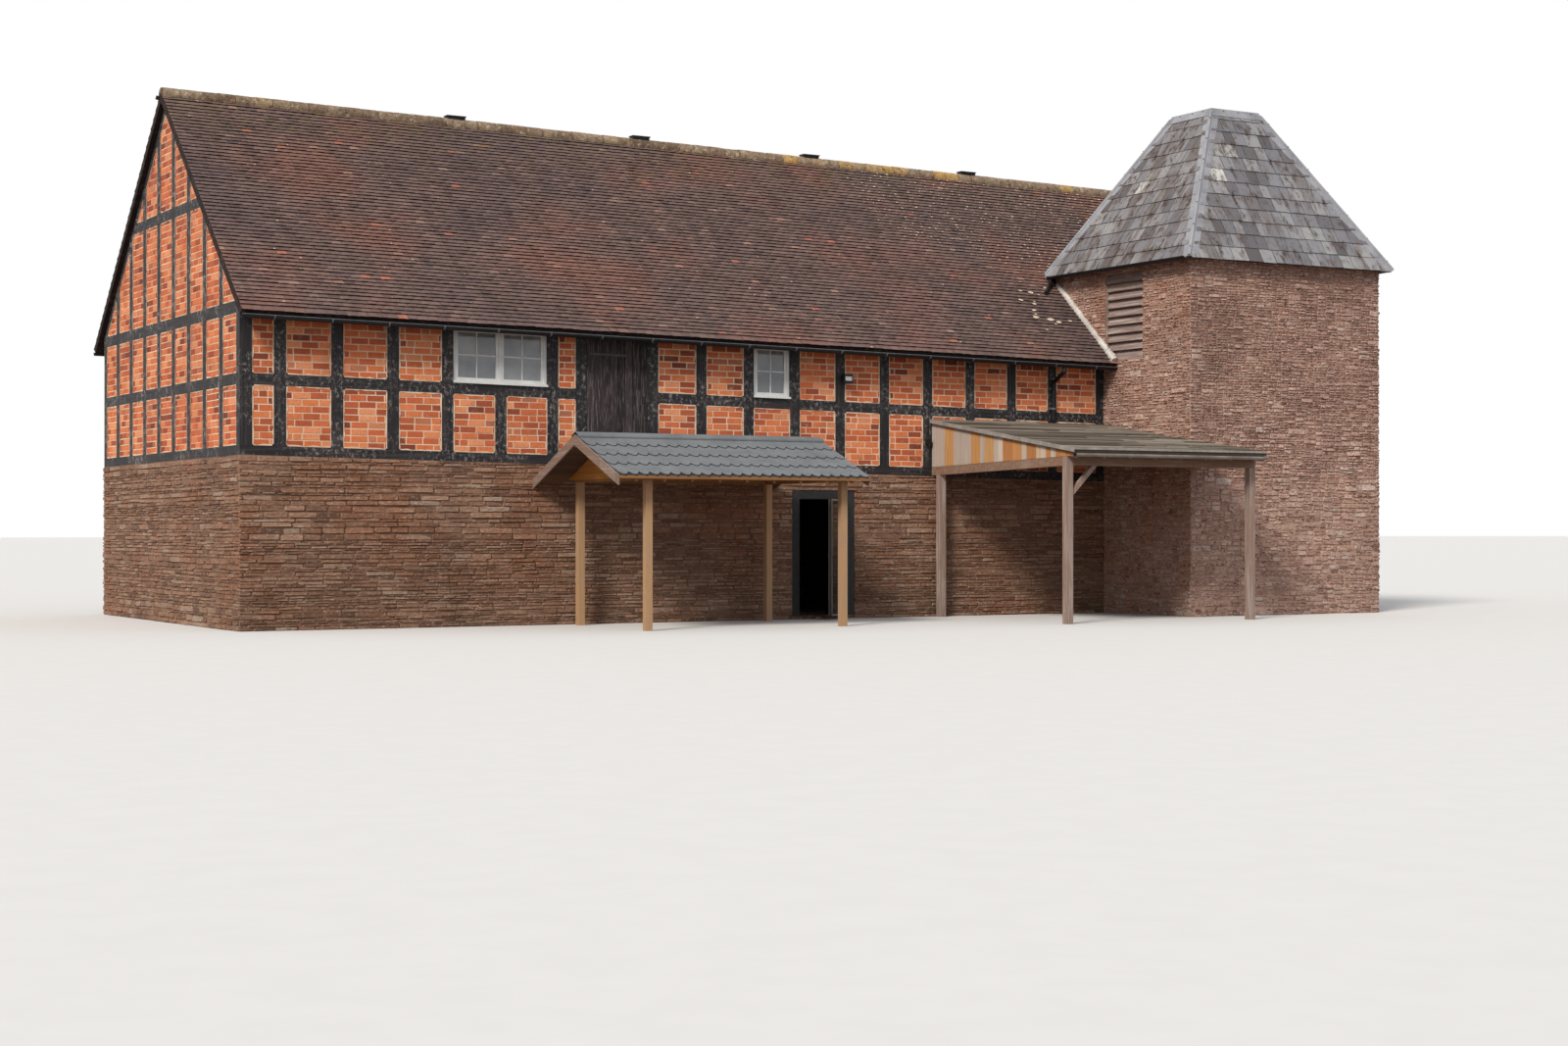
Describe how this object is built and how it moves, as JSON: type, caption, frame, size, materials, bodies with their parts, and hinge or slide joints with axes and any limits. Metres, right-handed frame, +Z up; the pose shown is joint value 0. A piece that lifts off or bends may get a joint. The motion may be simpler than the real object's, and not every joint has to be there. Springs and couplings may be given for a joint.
{
  "type": "oast house",
  "caption": "Old hop-drying house: half-timbered brick range on a rubble wall, square kiln tower with a slated pyramid roof, lean-to and garden canopy",
  "frame": {"origin": "middle of the whole building's box, on the ground", "axes": "+X along the range towards the kiln tower, +Y from the front towards the rear, +Z up"},
  "size_m": [21.178, 13.0594, 9.39],
  "materials": {
    "range_rubble": "rubble sandstone in lime mortar",
    "kiln_rubble": "reddish rubble sandstone",
    "black_timber": "worn black paint on oak",
    "brick": "orange-red handmade brick, cream mortar",
    "floor_stone": "worn flagstones",
    "floor_boards": "old boards",
    "floor_beams": "old oak",
    "window_paint": "pale grey-white paint",
    "glass": "clear glass",
    "black_boards": "black tarred boards",
    "door_metal": "satin metal",
    "clay_tiles": "weathered brown clay tiles",
    "ridge_clay": "mossy clay ridge tiles",
    "black_plastic": "black",
    "grey_oak": "silver-grey weathered oak",
    "slates": "grey slates with brown streaks",
    "lead": "dull grey sheet metal",
    "mortar": "pale mortar",
    "weathered_posts": "weathered timber",
    "roof_felt": "grey felt on boards",
    "side_boards": "grey and yellow-brown boards",
    "pine": "golden-brown treated pine",
    "stained_boards": "orange-brown stained boards",
    "tile_sheet": "blue-grey tile-effect sheet"
  },
  "bodies": {
    "building": {"front_stone_wall_left": "range_rubble", "front_stone_wall_right": "range_rubble", "wall_over_door": "range_rubble", "left_stone_wall": "range_rubble", "rear_stone_wall": "range_rubble", "right_stone_wall": "range_rubble", "sill_beams": "black_timber", "wall_plates": "black_timber", "wall_studs": "black_timber", "wall_rails": "black_timber", "brick_panels": "brick", "gable_frames": "black_timber", "gable_panels": "brick", "ground_floor": "floor_stone", "upper_floor": "floor_boards", "floor_beams": "floor_beams", "window_frames": "window_paint", "window_glass": "glass", "loading_door": "black_boards", "door_frame": "black_timber", "roof_front": "clay_tiles", "roof_rear": "clay_tiles", "ridge_tiles": "ridge_clay", "ridge_vents": "black_plastic", "gutters": "black_plastic", "downpipe": "black_plastic", "kiln_front_wall": "kiln_rubble", "kiln_left_wall": "kiln_rubble", "kiln_right_wall": "kiln_rubble", "kiln_rear_wall": "kiln_rubble", "kiln_louvre": "grey_oak", "kiln_roof": "slates", "kiln_leadwork": "lead", "mortar_fillet": "mortar", "lean_to_posts": "weathered_posts", "lean_to_beams": "weathered_posts", "lean_to_rafters": "weathered_posts", "lean_to_roof": "roof_felt", "lean_to_side_boards": "side_boards", "canopy_posts": "pine", "canopy_beams": "pine", "canopy_gables": "stained_boards", "canopy_roof": "tile_sheet", "wall_lights": "black_plastic"},
    "door": {"door_leaf": "door_metal", "door_glass": "glass"}
  },
  "joints": [
    {"name": "door_hinge", "type": "hinge", "parent": "building", "child": "door", "pos_m": [0.287, -2.2137, 1], "axis": [0, 0, 1], "range_deg": [-43, 52]}
  ]
}
